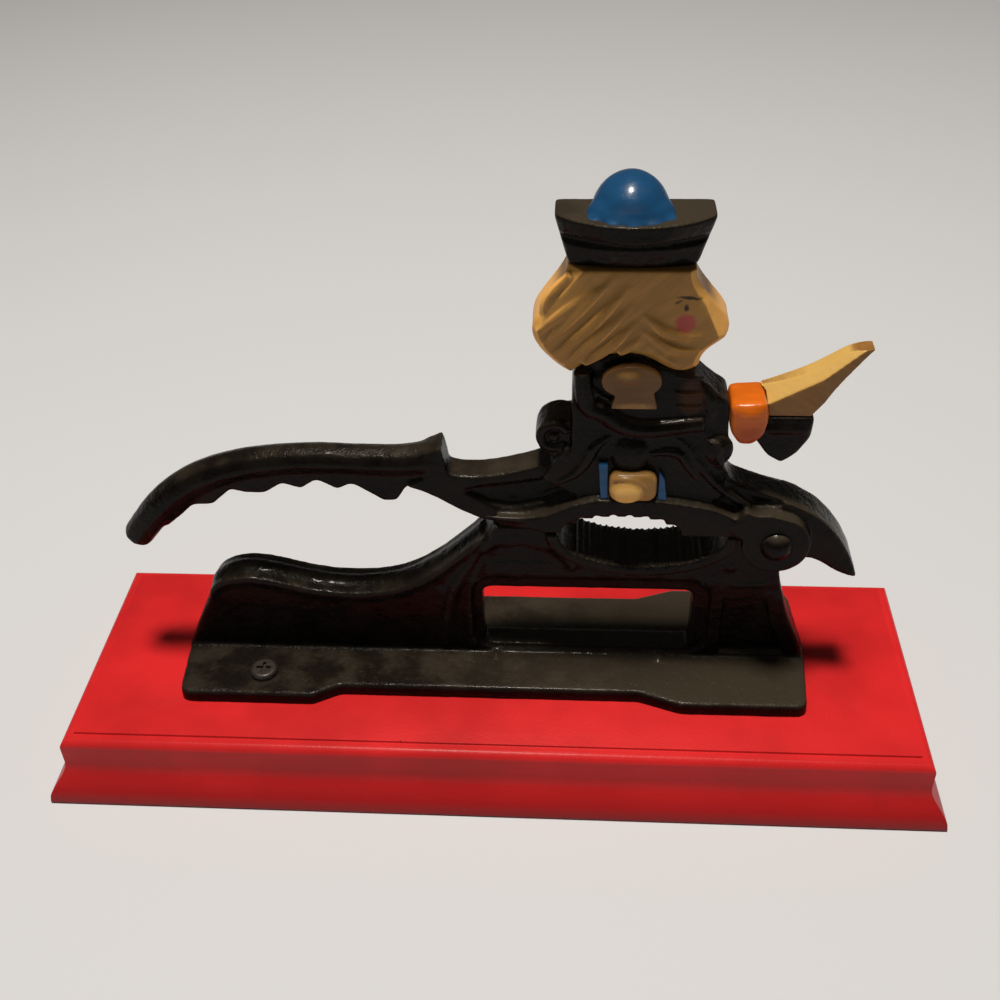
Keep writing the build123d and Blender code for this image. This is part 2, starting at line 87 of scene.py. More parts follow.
class NutcrackerColours(bpy.types.PropertyGroup):
    red: colour("Red", "Satin paint of the plinth", 0.60, 0.018, 0.020)
    black: colour("Black", "Enamel of the castings", 0.0035, 0.0026, 0.0022)
    # Also used as a painted sheen on the upper faces of the black enamel.
    worn_black_and_sheen: colour("Worn black", "Enamel where it is thin and dusty", 0.040, 0.031, 0.021)
    cream: colour("Cream", "Paint of the face and hair", 0.40, 0.205, 0.052)
    tan: colour("Tan", "Paint of the lap block", 0.42, 0.22, 0.06)
    ochre: colour("Ochre", "Paint of the hand on the chest", 0.16, 0.078, 0.026)
    gold: colour("Gold", "Paint of the blade", 0.27, 0.125, 0.030)
    blue: colour("Blue", "Paint of the crown and breeches", 0.009, 0.060, 0.150)
    orange: colour("Orange", "Paint of the cuff", 0.62, 0.125, 0.006)
    patina: colour("Patina", "Brown wash in the hollows of the pale paints", 0.10, 0.045, 0.012)
    steel: colour("Steel", "Darkened steel of the screws", 0.035, 0.028, 0.020)


class NutcrackerStage(bpy.types.PropertyGroup):
    floor: colour("Floor", "Plain pale floor", 0.64, 0.66, 0.69)
    key_power: bpy.props.FloatProperty(
        name="Overhead light", description="Power of the soft light above", default=31.0,
        min=0.0, unit="POWER",
    )
    fill_power: bpy.props.FloatProperty(
        name="Front light", description="Power of the soft light in front", default=0.2,
        min=0.0, unit="POWER",
    )
    sky: bpy.props.FloatProperty(
        name="Room light", description="Strength of the pale room around the object", default=0.06,
        min=0.0, subtype="FACTOR",
    )


SETTINGS = {
    "nutcracker_sizes": NutcrackerSizes,
    "nutcracker_colours": NutcrackerColours,
    "nutcracker_stage": NutcrackerStage,
}


# ---- modelling helpers ------------------------------------------------------------------
def at(x, y, z):
    """A point given in millimetres."""
    return Vector((x, y, z)) * MM


def deselect():
    if bpy.context.mode != "OBJECT":
        bpy.ops.object.mode_set(mode="OBJECT")
    bpy.ops.object.select_all(action="DESELECT")


def only(piece):
    """Makes one object the selected and active one."""
    deselect()
    piece.select_set(True)
    bpy.context.view_layer.objects.active = piece


def edit(piece):
    """Opens a piece in edit mode with all of it selected."""
    only(piece)
    bpy.ops.object.mode_set(mode="EDIT")
    bpy.ops.mesh.select_all(action="SELECT")


def leave_edit():
    bpy.ops.object.mode_set(mode="OBJECT")


def apply(piece, kind, **values):
    """Adds a modifier with these values and applies it."""
    only(piece)
    modifier = piece.modifiers.new(kind.title(), kind)
    for key, value in values.items():
        setattr(modifier, key, value)
    bpy.ops.object.modifier_apply(modifier=modifier.name)


def cad_copy(name, node):
    """A free copy of a CAD node's mesh with its loose triangles merged."""
    piece = bpy.data.objects.new(name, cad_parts[node].data.copy())
    bpy.context.scene.collection.objects.link(piece)
    piece.data.materials.clear()
    edit(piece)
    bpy.ops.mesh.remove_doubles(threshold=0.002 * MM)
    bpy.ops.mesh.customdata_custom_splitnormals_clear()
    leave_edit()
    return piece


def plate(outline, front, back):
    """A closed plate cut to an outline of (x, z) corners, between two planes."""
    deselect()
    bpy.ops.mesh.primitive_circle_add(vertices=len(outline), fill_type="NGON")
    piece = bpy.context.object
    for vertex, (x, z) in zip(piece.data.vertices, outline):
        vertex.co = at(x, back, z)
    piece.location = (0, 0, 0)
    edit(piece)
    bpy.ops.mesh.extrude_region_move(TRANSFORM_OT_translate={"value": (0, (front - back) * MM, 0)})
    bpy.ops.mesh.select_all(action="SELECT")
    bpy.ops.mesh.normals_make_consistent(inside=False)
    leave_edit()
    return piece


def strand(points, radius, tip=0.45, flat=1.0, swell=None):
    """A round strand through (x, y, z) points, thinner towards its ends or swelling point by point."""
    curve = bpy.data.curves.new("strand", "CURVE")
    curve.dimensions = "3D"
    curve.bevel_depth = radius * MM
    curve.bevel_resolution = 2
    curve.use_fill_caps = True
    spline = curve.splines.new("NURBS")
    spline.points.add(len(points) - 1)
    last = len(points) - 1
    for i, (x, y, z) in enumerate(points):
        spline.points[i].co = (*at(x, y, z), 1.0)
        thin = tip + (1 - tip) * math.sin(math.pi * i / last) ** 0.5
        spline.points[i].radius = swell[i] if swell else thin
    spline.use_endpoint_u = True
    spline.order_u = min(3, len(points))
    piece = bpy.data.objects.new("strand", curve)
    bpy.context.scene.collection.objects.link(piece)
    only(piece)
    bpy.ops.object.convert(target="MESH")
    piece = bpy.context.object
    if flat != 1.0:
        middle = sum((Vector(v.co) for v in piece.data.vertices), Vector()) / len(piece.data.vertices)
        edit(piece)
        bpy.ops.transform.resize(value=(1, flat, 1), center_override=middle)
        leave_edit()
    edit(piece)
    bpy.ops.mesh.remove_doubles(threshold=0.01 * MM)
    bpy.ops.mesh.normals_make_consistent(inside=False)
    leave_edit()
    return piece


def ball(x, y, z, across, deep, high):
    """An egg-shaped lump with these half sizes along X, Y and Z."""
    deselect()
    bpy.ops.mesh.primitive_uv_sphere_add(segments=32, ring_count=16, radius=1.0)
    piece = bpy.context.object
    edit(piece)
    bpy.ops.transform.resize(value=(across * MM, deep * MM, high * MM), center_override=(0, 0, 0))
    bpy.ops.transform.translate(value=at(x, y, z))
    leave_edit()
    return piece


def on_plane(points, y):
    """(x, z) points laid on the plane at y."""
    return [(x, y, z) for x, z in points]


def both_faces(points, y, radius, **shape):
    """The same strand on the front face and, mirrored, on the back face of a casting."""
    return [strand(on_plane(points, side), radius, **shape) for side in (y, 2 * CAST_Y - y)]


def fuse(piece, parts, spacing):
    """Joins parts into a piece as one closed skin of even mesh."""
    deselect()
    for part in parts:
        part.select_set(True)
    piece.select_set(True)
    bpy.context.view_layer.objects.active = piece
    if parts:
        bpy.ops.object.join()
    only(piece)
    piece.data.remesh_voxel_size = spacing
    piece.data.remesh_voxel_adaptivity = 0.0
    bpy.ops.object.voxel_remesh()


def soften(piece, steps, zone=None):
    """Rounds edges and corners, all over or within a zone of (x0, x1, z0, z1)."""
    if zone is None:
        apply(piece, "SMOOTH", factor=0.5, iterations=steps)
        return
    x0, x1, z0, z1 = (value * MM for value in zone)
    inside = [v.index for v in piece.data.vertices if x0 < v.co.x < x1 and z0 < v.co.z < z1]
    group = piece.vertex_groups.new(name="zone")
    group.add(inside, 1.0, "REPLACE")
    apply(piece, "SMOOTH", factor=0.5, iterations=steps, vertex_group=group.name)
    piece.vertex_groups.clear()


def slice_off(piece, a, b, c, outside):
    """Cuts a flat facet through three points and closes it; the side with the outside point goes."""
    a, b, c, outside = at(*a), at(*b), at(*c), at(*outside)
    normal = (b - a).cross(c - a).normalized()
    if normal.dot(outside - a) < 0:
        normal = -normal
    edit(piece)
    bpy.ops.mesh.bisect(plane_co=a, plane_no=normal, use_fill=True, clear_outer=True)
    leave_edit()


def carve(piece, cutters):
    """Cuts each cutter's shape out of a piece."""
    for cutter in cutters:
        apply(piece, "BOOLEAN", operation="DIFFERENCE", solver="MANIFOLD", object=cutter)
        bpy.data.objects.remove(cutter)


def roughen(piece, depth, grain):
    """Raises the low lumps that a sand mould leaves in iron."""
    texture = bpy.data.textures.get("sand_lumps") or bpy.data.textures.new("sand_lumps", "CLOUDS")
    texture.noise_scale = grain
    texture.noise_depth = 2
    apply(piece, "DISPLACE", texture=texture, texture_coords="LOCAL", strength=depth, mid_level=0.5)


def hand_over(piece, body, nodes, coat, smooth_angle=50.0):
    """Shades and paints a finished piece, fixes it to its body and lets it stand for its CAD nodes."""
    only(piece)
    bpy.ops.object.shade_smooth_by_angle(angle=math.radians(smooth_angle))
    piece.data.materials.clear()
    piece.data.materials.append(coat)
    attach(piece, body)
    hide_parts(*nodes)


def paint_node(node, coat):
    """Gives a CAD node that keeps its own shape a finished material."""
    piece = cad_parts[node]
    if not piece.material_slots:
        piece.data.materials.append(coat)
    for held in piece.material_slots:
        held.material = coat


# ---- material helpers ---------------------------------------------------------------------
def put(tree, kind, values=None, **settings):
    """Adds a node, with socket values by name and settings by attribute."""
    node = tree.nodes.new("ShaderNode" + kind)
    for key, value in settings.items():
        setattr(node, key, value)
    for key, value in (values or {}).items():
        if hasattr(value, "is_linked"):
            tree.links.new(value, node.inputs[key])
        else:
            node.inputs[key].default_value = value
    return node


def maths(tree, operation, a, b=0.0, clamp=False):
    return put(tree, "Math", {0: a, 1: b}, operation=operation, use_clamp=clamp).outputs[0]


def mix_colour(tree, factor, a, b):
    node = tree.nodes.new("ShaderNodeMix")
    node.data_type = "RGBA"
    for socket, value in ((node.inputs[0], factor), (node.inputs[6], a), (node.inputs[7], b)):
        if hasattr(value, "is_linked"):
            tree.links.new(value, socket)
        else:
            socket.default_value = value
    return node.outputs[2]


def ramp(tree, value, low, high):
    """0 below low, 1 above high, smooth between."""
    node = put(tree, "MapRange", {"Value": value, "From Min": low, "From Max": high})
    node.interpolation_type = "SMOOTHSTEP"
    return node.outputs["Result"]


def noise(tree, coordinates, scale, detail=3.0, rough=0.5, stretch=(1, 1, 1)):
    """Noise on Object coordinates; scale is in features per metre."""
    mapping = put(tree, "Mapping", {"Vector": coordinates, "Scale": stretch})
    values = {"Vector": mapping.outputs[0], "Scale": scale, "Detail": detail, "Roughness": rough}
    return put(tree, "TexNoise", values).outputs["Fac"]


def object_coordinates(tree):
    return put(tree, "TexCoord").outputs["Object"]


def group_tree(name, inputs, outputs):
    """An empty shader node group with named float inputs and outputs."""
    tree = bpy.data.node_groups.new(name, "ShaderNodeTree")
    for label, default in inputs:
        socket = tree.interface.new_socket(label, in_out="INPUT", socket_type="NodeSocketFloat")
        socket.default_value = default
    for label in outputs:
        tree.interface.new_socket(label, in_out="OUTPUT", socket_type="NodeSocketFloat")
    start = tree.nodes.new("NodeGroupInput")
    end = tree.nodes.new("NodeGroupOutput")
    return tree, start, end


def sand_cast_group():
    """Skin of painted sand-cast iron: a height for Bump, and a mask of thick and thin paint."""
    name = "Sand cast skin"
    if name in bpy.data.node_groups:
        return bpy.data.node_groups[name]
    tree, start, end = group_tree(name, [("Grain", 420.0), ("Pits", 1400.0)], ["Height", "Blotches"])
    where = object_coordinates(tree)
    coarse = noise(tree, where, start.outputs["Grain"], 3.0, 0.55)
    fine = noise(tree, where, start.outputs["Pits"], 2.0, 0.6)
    height = maths(tree, "ADD", maths(tree, "MULTIPLY", coarse, 0.75), maths(tree, "MULTIPLY", fine, 0.25))
    blotches = ramp(tree, noise(tree, where, 90.0, 4.0, 0.6), 0.38, 0.66)
    tree.links.new(height, end.inputs["Height"])
    tree.links.new(blotches, end.inputs["Blotches"])
    return tree


def hollows_group():
    """Masks of the hollows and of the worn edges of a cast relief."""
    name = "Hollows and edges"
    if name in bpy.data.node_groups:
        return bpy.data.node_groups[name]
    inputs = [("Hollow Low", 0.462), ("Hollow High", 0.4985), ("Edge Low", 0.508), ("Edge High", 0.555)]
    tree, start, end = group_tree(name, inputs, ["Hollows", "Edges"])
    sharpness = put(tree, "NewGeometry").outputs["Pointiness"]
    hollow = ramp(tree, sharpness, start.outputs["Hollow Low"], start.outputs["Hollow High"])
    edge = ramp(tree, sharpness, start.outputs["Edge Low"], start.outputs["Edge High"])
    tree.links.new(maths(tree, "SUBTRACT", 1.0, hollow, clamp=True), end.inputs["Hollows"])
    tree.links.new(edge, end.inputs["Edges"])
    return tree


def paint_spot_group():
    """Mask of a soft-edged oval dab of paint on the front of the figure; places in metres."""
    name = "Paint spot"
    if name in bpy.data.node_groups:
        return bpy.data.node_groups[name]
    inputs = [("X", 0.0), ("Z", 0.0), ("Half Width", 0.003), ("Half Height", 0.003),
              ("Softness", 0.2), ("Tilt", 0.0)]
    tree, start, end = group_tree(name, inputs, ["Mask"])
    place = put(tree, "SeparateXYZ", {"Vector": object_coordinates(tree)})
    ragged = maths(tree, "SUBTRACT", noise(tree, object_coordinates(tree), 700.0), 0.5)
    wobble = maths(tree, "MULTIPLY", ragged, 0.0012)
    across = maths(tree, "SUBTRACT", place.outputs["X"], start.outputs["X"])
    upward = maths(tree, "SUBTRACT", place.outputs["Z"], start.outputs["Z"])
    upward = maths(tree, "SUBTRACT", upward, maths(tree, "MULTIPLY", across, start.outputs["Tilt"]))
    across = maths(tree, "DIVIDE", maths(tree, "ADD", across, wobble), start.outputs["Half Width"])
    upward = maths(tree, "DIVIDE", maths(tree, "ADD", upward, wobble), start.outputs["Half Height"])
    squares = [maths(tree, "POWER", maths(tree, "ABSOLUTE", way), 2.0) for way in (across, upward)]
    distance = maths(tree, "SQRT", maths(tree, "ADD", *squares))
    inner = maths(tree, "SUBTRACT", 1.0, start.outputs["Softness"])
    outside = put(tree, "MapRange", {"Value": distance, "From Min": inner, "From Max": 1.0})
    front = maths(tree, "LESS_THAN", place.outputs["Y"], 0.001)
    mask = maths(tree, "SUBTRACT", 1.0, outside.outputs["Result"], clamp=True)
    tree.links.new(maths(tree, "MULTIPLY", mask, front), end.inputs["Mask"])
    return tree


def use_group(tree, group, **values):
    node = tree.nodes.new("ShaderNodeGroup")
    node.node_tree = group
    for key, value in values.items():
        node.inputs[key.replace("_", " ").title()].default_value = value
    return node


def new_material(name):
    """A material with one Principled shader and nothing else."""
    material = bpy.data.materials.new(name)
    material.use_nodes = True
    tree = material.node_tree
    shader = next(n for n in tree.nodes if n.type == "BSDF_PRINCIPLED")
    return material, tree, shader


def four(rgb, gain=1.0):
    return (rgb[0] * gain, rgb[1] * gain, rgb[2] * gain, 1.0)


def set_shader(tree, shader, **values):
    for key, value in values.items():
        socket = shader.inputs[key.replace("_", " ").title().replace("Ior", "IOR")]
        if hasattr(value, "is_linked"):
            tree.links.new(value, socket)
        else:
            socket.default_value = value


def bump(tree, shader, height, distance, strength):
    node = put(tree, "Bump", {"Height": height, "Distance": distance, "Strength": strength})
    tree.links.new(node.outputs["Normal"], shader.inputs["Normal"])


def black_enamel(stain=None):
    """Thick glossy black enamel over rough cast iron, lighter where it faces up: partly dust, partly a
    painted sheen that grows towards the hinge end.

    A stain is (x, z, half width, half height) in millimetres.
    """
    name = "black_enamel" if stain is None else "black_enamel_stained"
    if name in bpy.data.materials:
        return bpy.data.materials[name]
    paint = bpy.context.scene.nutcracker_colours
    material, tree, shader = new_material(name)
    skin = use_group(tree, sand_cast_group(), grain=420.0, pits=1300.0)
    relief = use_group(tree, hollows_group())
    thin = maths(tree, "MULTIPLY", skin.outputs["Blotches"], 0.12)
    tone = mix_colour(tree, thin, four(paint.black), four(paint.worn_black_and_sheen))
    rubbed = maths(tree, "MULTIPLY", relief.outputs["Edges"], 0.35)
    tone = mix_colour(tree, rubbed, tone, four(paint.worn_black_and_sheen))
    up = put(tree, "SeparateXYZ", {"Vector": put(tree, "NewGeometry").outputs["Normal"]}).outputs["Z"]
    hinge_end = put(tree, "SeparateXYZ", {"Vector": object_coordinates(tree)}).outputs["X"]
    # Upper faces take the worn black colour: partly settled dust, partly a painted sheen of the overhead
    # light.
    dust = maths(tree, "ADD", 0.15, maths(tree, "MULTIPLY", skin.outputs["Blotches"], 0.4))
    # Painted sheen, stronger towards the hinge end, where the overhead light shines on the upper faces.
    dust = maths(tree, "ADD", dust, maths(tree, "MULTIPLY", ramp(tree, hinge_end, -0.05, 0.07), 0.85))
    upward_dust_and_sheen = maths(tree, "MULTIPLY", ramp(tree, up, 0.45, 0.95), dust)
    tone = mix_colour(tree, upward_dust_and_sheen, tone, four(paint.worn_black_and_sheen))
    if stain is not None:
        x, z, half_width, half_height = (value * MM for value in stain)
        spot = use_group(tree, paint_spot_group(), x=x, z=z,
                         half_width=half_width, half_height=half_height, softness=0.45)
        soaked = maths(tree, "MULTIPLY", spot.outputs["Mask"], 0.75)
        tone = mix_colour(tree, soaked, tone, four((0.060, 0.024, 0.010)))
    rough = maths(tree, "ADD", 0.22, maths(tree, "MULTIPLY", skin.outputs["Blotches"], 0.14))
    set_shader(tree, shader, base_color=tone, roughness=rough, specular_ior_level=0.06,
               coat_weight=0.08, coat_roughness=0.07)
    bump(tree, shader, skin.outputs["Height"], 0.0008, 0.9)
    return material


def brushed_paint(name, rgb, wash, gloss=0.42, coat=0.15, spots=(), sweep=0.0, streaks=0.15,
                  side_highlight=1.0, crest_highlight=None):
    """Hand-brushed paint on iron: strokes along the sweep angle, and a brown wash in the hollows.

    Where a surface faces left or right, a painted highlight brightens the paint by a given factor. A
    painted highlight colour lies on the facets that slope up without being level.
    """
    paint = bpy.context.scene.nutcracker_colours
    material, tree, shader = new_material(name)
    skin = use_group(tree, sand_cast_group(), grain=520.0, pits=1500.0)
    relief = use_group(tree, hollows_group())
    where = object_coordinates(tree)
    turned = put(tree, "VectorRotate", {"Vector": where, "Axis": (0, 1, 0), "Angle": math.radians(sweep)})
    strokes = noise(tree, turned.outputs[0], 260.0, 3.0, 0.55, stretch=(0.22, 1.0, 1.6))
    tone = mix_colour(tree, ramp(tree, strokes, 0.36, 0.68), four(rgb, 0.86), four(rgb, 1.06))
    broad = noise(tree, turned.outputs[0], 120.0, 2.0, 0.5, stretch=(0.25, 1.0, 1.8))
    dark_stroke = maths(tree, "MULTIPLY", ramp(tree, broad, 0.52, 0.72), streaks)
    tone = mix_colour(tree, dark_stroke, tone, four(paint.patina, 1.6))
    washed = maths(tree, "MULTIPLY", relief.outputs["Hollows"], wash)
    tone = mix_colour(tree, washed, tone, four(paint.patina))
    facing = put(tree, "SeparateXYZ", {"Vector": put(tree, "NewGeometry").outputs["Normal"]})
    # Painted highlight: brighter paint where a surface faces left or right.
    side = ramp(tree, maths(tree, "ABSOLUTE", facing.outputs["X"]), 0.30, 0.60)
    tone = mix_colour(tree, side, tone, four(rgb, side_highlight))
    if crest_highlight is not None:
        # Painted highlight on the upward-sloping facets, where the overhead light catches them.
        sloping = ramp(tree, facing.outputs["Z"], 0.25, 0.50)
        level = ramp(tree, facing.outputs["Z"], 0.88, 0.96)
        crest_highlight_mask = maths(tree, "SUBTRACT", sloping, level, clamp=True)
        tone = mix_colour(tree, crest_highlight_mask, tone, four(crest_highlight))
    for rgb_spot, strength, values in spots:
        spot = use_group(tree, paint_spot_group(), **values)
        dabbed = maths(tree, "MULTIPLY", spot.outputs["Mask"], strength)
        tone = mix_colour(tree, dabbed, tone, four(rgb_spot))
    rough = maths(tree, "ADD", gloss, maths(tree, "MULTIPLY", strokes, 0.12))
    set_shader(tree, shader, base_color=tone, roughness=rough, specular_ior_level=0.16,
               coat_weight=coat, coat_roughness=0.18)
    cast = maths(tree, "MULTIPLY", skin.outputs["Height"], 0.6)
    height = maths(tree, "ADD", cast, maths(tree, "MULTIPLY", strokes, 0.4))
    bump(tree, shader, height, STROKE_DEPTH, 0.8)
    return material


def red_paint():
    """Satin red paint on routed wood: faint grain, dust specks, and a painted shade that darkens it towards
    the foot.
    """
    paint = bpy.context.scene.nutcracker_colours
    material, tree, shader = new_material("red_paint")
    where = object_coordinates(tree)
    grain = noise(tree, where, 150.0, 4.0, 0.6, stretch=(0.06, 1.0, 1.0))
    orange_peel = noise(tree, where, 900.0, 2.0, 0.5)
    cloud = noise(tree, where, 22.0, 3.0, 0.6)
    tone = mix_colour(tree, ramp(tree, cloud, 0.35, 0.7), four(paint.red, 0.86), four(paint.red, 1.10))
    above_foot = put(tree, "SeparateXYZ", {"Vector": where}).outputs["Z"]
    # Painted shade: the red darkens towards the foot of the plinth.
    tone = mix_colour(tree, ramp(tree, above_foot, 0.0, 0.019), four(paint.red, 0.55), tone)
    speck = put(tree, "TexVoronoi", {"Vector": where, "Scale": 95.0})
    dot = maths(tree, "LESS_THAN", speck.outputs["Distance"], 0.035)
    rare = maths(tree, "GREATER_THAN", noise(tree, where, 40.0, 1.0), 0.60)
    dust = maths(tree, "MULTIPLY", maths(tree, "MULTIPLY", dot, rare), 0.7)
    tone = mix_colour(tree, dust, tone, four((0.10, 0.008, 0.010)))
    rough = maths(tree, "ADD", 0.30, maths(tree, "MULTIPLY", cloud, 0.16))
    set_shader(tree, shader, base_color=tone, roughness=rough, specular_ior_level=0.16,
               coat_weight=0.05, coat_roughness=0.20)
    height = maths(tree, "ADD", maths(tree, "MULTIPLY", grain, 0.55),
                   maths(tree, "MULTIPLY", orange_peel, 0.45))
    bump(tree, shader, height, 0.00025, 0.7)
    return material


def dark_steel():
    """Screw steel that has been painted over and wiped, blotched with brown."""
    paint = bpy.context.scene.nutcracker_colours
    material, tree, shader = new_material("dark_steel")
    skin = use_group(tree, sand_cast_group(), grain=900.0, pits=2600.0)
    tone = mix_colour(tree, skin.outputs["Blotches"], four(paint.steel), four((0.020, 0.015, 0.010)))
    rough = maths(tree, "ADD", 0.34, maths(tree, "MULTIPLY", skin.outputs["Blotches"], 0.2))
    metal = maths(tree, "MULTIPLY", skin.outputs["Blotches"], 0.35)
    set_shader(tree, shader, base_color=tone, roughness=rough, metallic=metal,
               coat_weight=0.2, coat_roughness=0.2)
    bump(tree, shader, skin.outputs["Height"], 0.0003, 0.7)
    return material


# ---- stage ------------------------------------------------------------------------------
CAMERA_PLACE = (0.0279, -0.3126, 0.3408)
CAMERA_YAW, CAMERA_PITCH, CAMERA_ROLL = -4.52, 37.85, -1.85
CAMERA_LENS, CAMERA_SENSOR = 44.19, 36.0
LIGHT_AIM = (0.0, 0.0, 0.08)            # a point low in the figure
OVERHEAD_PLACE, OVERHEAD_SIZE = (-0.04, -0.06, 1.7), (0.28, 0.28)
FRONT_PLACE, FRONT_SIZE = (-0.45, -0.75, 0.55), (0.6, 0.6)
WARM, NEUTRAL, ROOM = (1.0, 0.93, 0.84), (1.0, 0.97, 0.94), (1.0, 0.98, 0.95, 1.0)


def camera_matrix():
    """Where the camera stands, turned by its yaw, downward pitch and roll."""
    yaw, pitch, roll = (math.radians(a) for a in (CAMERA_YAW, CAMERA_PITCH, CAMERA_ROLL))
    forward = Vector((math.sin(yaw) * math.cos(pitch), math.cos(yaw) * math.cos(pitch), -math.sin(pitch)))
    level = Vector((math.cos(yaw), -math.sin(yaw), 0))
    upright = level.cross(forward)
    right = level * math.cos(roll) + upright * math.sin(roll)
    up = upright * math.cos(roll) - level * math.sin(roll)
    turn = Matrix((right, up, -forward)).transposed()
    return Matrix.Translation(CAMERA_PLACE) @ turn.to_4x4()


def area_light(name, place, size, power, tint):
    """A soft square light that shines on the middle of the object."""
    data = bpy.data.lights.new(name, "AREA")
    data.shape = "RECTANGLE"
    data.size, data.size_y = size
    data.energy = power
    data.color = tint
    light = bpy.data.objects.new(name, data)
    bpy.context.scene.collection.objects.link(light)
    aim = Vector(LIGHT_AIM) - Vector(place)
    light.location = place
    light.rotation_euler = aim.to_track_quat("-Z", "Y").to_euler()


class NUTCRACKER_OT_stage(bpy.types.Operator):
    """Lays the floor, hangs the lights and sets up the camera"""

    bl_idname = "nutcracker.stage"
    bl_label = "Stage"

    def execute(self, context):
        values = context.scene.nutcracker_stage
        deselect()
        bpy.ops.mesh.primitive_plane_add(size=8.0, location=(0, 0, 0))
        floor = context.object
        floor.name = "floor"
        material, tree, shader = new_material("pale_floor")
        mottle = noise(tree, object_coordinates(tree), 3.0, 2.0)
        tone = mix_colour(tree, mottle, four(values.floor, 0.97), four(values.floor, 1.0))
        set_shader(tree, shader, base_color=tone, roughness=0.85, specular_ior_level=0.1)
        floor.data.materials.append(material)

        world = bpy.data.worlds.new("room")
        world.use_nodes = True
        background = next(n for n in world.node_tree.nodes if n.type == "BACKGROUND")
        background.inputs["Color"].default_value = ROOM
        background.inputs["Strength"].default_value = values.sky
        context.scene.world = world
        area_light("overhead_light", OVERHEAD_PLACE, OVERHEAD_SIZE, values.key_power, WARM)
        area_light("front_light", FRONT_PLACE, FRONT_SIZE, values.fill_power, NEUTRAL)

        data = bpy.data.cameras.new("camera")
        data.sensor_width = CAMERA_SENSOR
        data.lens = CAMERA_LENS
        data.clip_start, data.clip_end = 0.01, 50.0
        camera = bpy.data.objects.new("camera", data)
        context.scene.collection.objects.link(camera)
        camera.matrix_world = camera_matrix()
        context.scene.camera = camera
        context.scene.view_settings.view_transform = "Standard"
        return {"FINISHED"}


# ---- pieces -------------------------------------------------------------------------------
class NUTCRACKER_OT_plinth(bpy.types.Operator):
    """Paints the routed wooden plinth and eases its edges"""

    bl_idname = "nutcracker.plinth"
    bl_label = "Plinth"

    def execute(self, context):
        sizes = context.scene.nutcracker_sizes
        plinth = cad_copy("painted_plinth", "plinth")
        edit(plinth)
        bpy.ops.mesh.dissolve_limited(angle_limit=math.radians(0.6))
        leave_edit()
        apply(plinth, "BEVEL", width=sizes.plinth_edge, segments=3, limit_method="ANGLE",
              angle_limit=math.radians(32), harden_normals=False)
        hand_over(plinth, "base", ["plinth"], red_paint(), 35.0)
        return {"FINISHED"}


def rounded_box(x0, x1, z0, z1, corner):
    """Outline of a rectangle with its corners cut in two short steps."""
    small = 0.3 * corner
    quarter = [(corner, 0.0), (small, small), (0.0, corner)]
    left_low = [(x0 + a, z0 + b) for a, b in quarter]
    left_high = [(x0 + a, z1 - b) for a, b in reversed(quarter)]
    right_high = [(x1 - a, z1 - b) for a, b in quarter]
    right_low = [(x1 - a, z0 + b) for a, b in reversed(quarter)]
    return left_low + left_high + right_high + right_low


def jaw_ribs(x_from, x_to, height_at, up, pitch, height, tip):
    """Small ridges across a jaw's hollow, parallel to the hinge; tip is half the width of their tops."""
    ribs = []
    count = round((x_to - x_from) / pitch)
    for i in range(count + 1):
        x = x_from + (x_to - x_from) * i / count
        z = height_at(x)
        half = 0.42 * pitch
        low, high = z - up * 0.9, z + up * height
        outline = [(x - half, low), (x + half, low), (x + tip, high), (x - tip, high)]
        ribs.append(plate(outline, RIB_FRONT, RIB_BACK))
    return ribs


def lower_hollow(x):
    """Height of the lower jaw's hollow, half an ellipse."""
    start, end, rim, depth = 22.0, 76.5, 87.6, 13.0
    offset = (2 * x - (start + end)) / (end - start)
    return rim - depth * math.sqrt(1 - offset ** 2)


def upper_hollow(x):
    """Height of the upper jaw's hollow, half an ellipse flattened in its middle."""
    start, span, rim, rise, fullness = 23.0, 38.5, 88.2, 8.4, 2.3
    offset = abs(2 * (x - start) / span - 1)
    return rim + rise * (1 - offset ** fullness) ** (1 / fullness)


